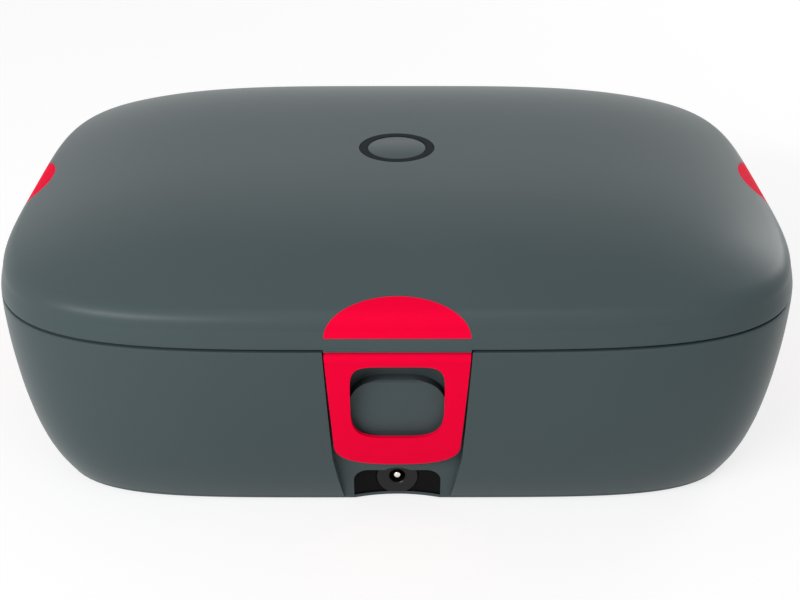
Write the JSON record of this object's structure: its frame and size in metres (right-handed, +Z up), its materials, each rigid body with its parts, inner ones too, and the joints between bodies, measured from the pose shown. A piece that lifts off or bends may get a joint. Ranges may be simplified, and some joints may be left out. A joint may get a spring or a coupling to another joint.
{
  "type": "electric lunch box",
  "caption": "Heated lunch box with a hinged crowned lid, red snap latches on three sides, a round power button in the lid and a low-voltage inlet under the front latch.",
  "frame": {"origin": "middle of the footprint's bounding box, hinge knuckles included, on the surface it stands on", "axes": "+Z up, -Y the front with the front latch and the inlet, +X to the right seen from the front"},
  "size_m": [0.28, 0.221, 0.0967],
  "materials": {
    "shell_grey": "fine matt moulded ABS, slate grey",
    "liner_grey": "matt moulded polypropylene, dark grey",
    "latch_red": "satin moulded acetal, signal red",
    "ring_dark": "smoked translucent polycarbonate, unlit",
    "foot_rubber": "matt rubber",
    "seal_silicone": "translucent silicone",
    "dish_steel": "fine brushed stainless steel",
    "well_aluminium": "satin anodised pressing",
    "plain_steel": "bright zinc-plated steel",
    "contact_brass": "gold-flashed brass",
    "black_plastic": "black moulded nylon",
    "board_green": "green solder mask on glass laminate",
    "film_amber": "amber polyimide film",
    "foam_cream": "closed-cell foam",
    "lead_insulation": "silicone-sleeved leads"
  },
  "bodies": {
    "base": {"base_shell": "shell_grey", "base_liner": "liner_grey", "liner_screws": "plain_steel", "rubber_feet": "foot_rubber", "heated_well": "well_aluminium", "heater_film": "film_amber", "heater_retainer": "plain_steel", "retainer_nuts": "plain_steel", "thermistor": "lead_insulation", "thermal_cutout": "black_plastic", "heater_leads": "lead_insulation", "insulation_jacket": "foam_cream", "control_board": "board_green", "board_components": "black_plastic", "board_screws": "plain_steel", "dc_jack_housing": "black_plastic", "dc_jack_pin": "contact_brass", "jack_retainer": "plain_steel", "jack_leads": "lead_insulation", "contact_block": "black_plastic", "contact_pins": "contact_brass", "contact_ribbon": "lead_insulation", "food_dish": "dish_steel", "base_hinge_leaf": "liner_grey", "base_hinge_screws": "plain_steel", "hinge_pin": "plain_steel"},
    "lid": {"lid_shell": "shell_grey", "lid_liner": "liner_grey", "lid_liner_screws": "plain_steel", "lid_seal": "seal_silicone", "lid_insulation": "foam_cream", "front_pad": "latch_red", "left_pad": "latch_red", "right_pad": "latch_red", "front_latch_pin": "plain_steel", "left_latch_pin": "plain_steel", "right_latch_pin": "plain_steel", "light_ring": "ring_dark", "button_board": "board_green", "button_board_screws": "plain_steel", "button_switch": "black_plastic", "button_spring": "plain_steel", "lid_contact_block": "black_plastic", "lid_ribbon": "lead_insulation", "lid_hinge_leaf": "liner_grey", "lid_hinge_screws": "plain_steel"},
    "front_latch": {"front_latch": "latch_red"},
    "left_latch": {"left_latch": "latch_red"},
    "right_latch": {"right_latch": "latch_red"},
    "power_button": {"power_button": "shell_grey"}
  },
  "joints": [
    {"name": "lid_hinge", "type": "hinge", "parent": "base", "child": "lid", "pos_m": [0, 0.1065, 0.0555], "axis": [-1, 0, 0], "range_deg": [0, 105]},
    {"name": "front_latch_hinge", "type": "hinge", "parent": "lid", "child": "front_latch", "pos_m": [0, -0.1073, 0.0658], "axis": [-1, 0, 0], "range_deg": [0, 90]},
    {"name": "left_latch_hinge", "type": "hinge", "parent": "lid", "child": "left_latch", "pos_m": [-0.1368, -0.0045, 0.0658], "axis": [0, 1, 0], "range_deg": [0, 90]},
    {"name": "right_latch_hinge", "type": "hinge", "parent": "lid", "child": "right_latch", "pos_m": [0.1368, -0.0045, 0.0658], "axis": [0, -1, 0], "range_deg": [0, 90]},
    {"name": "button_press", "type": "slide", "parent": "lid", "child": "power_button", "axis": [0, 0, -1], "range_m": [0, 0.001], "stiffness_N_per_m": 400, "deforming": ["button_spring"]}
  ]
}
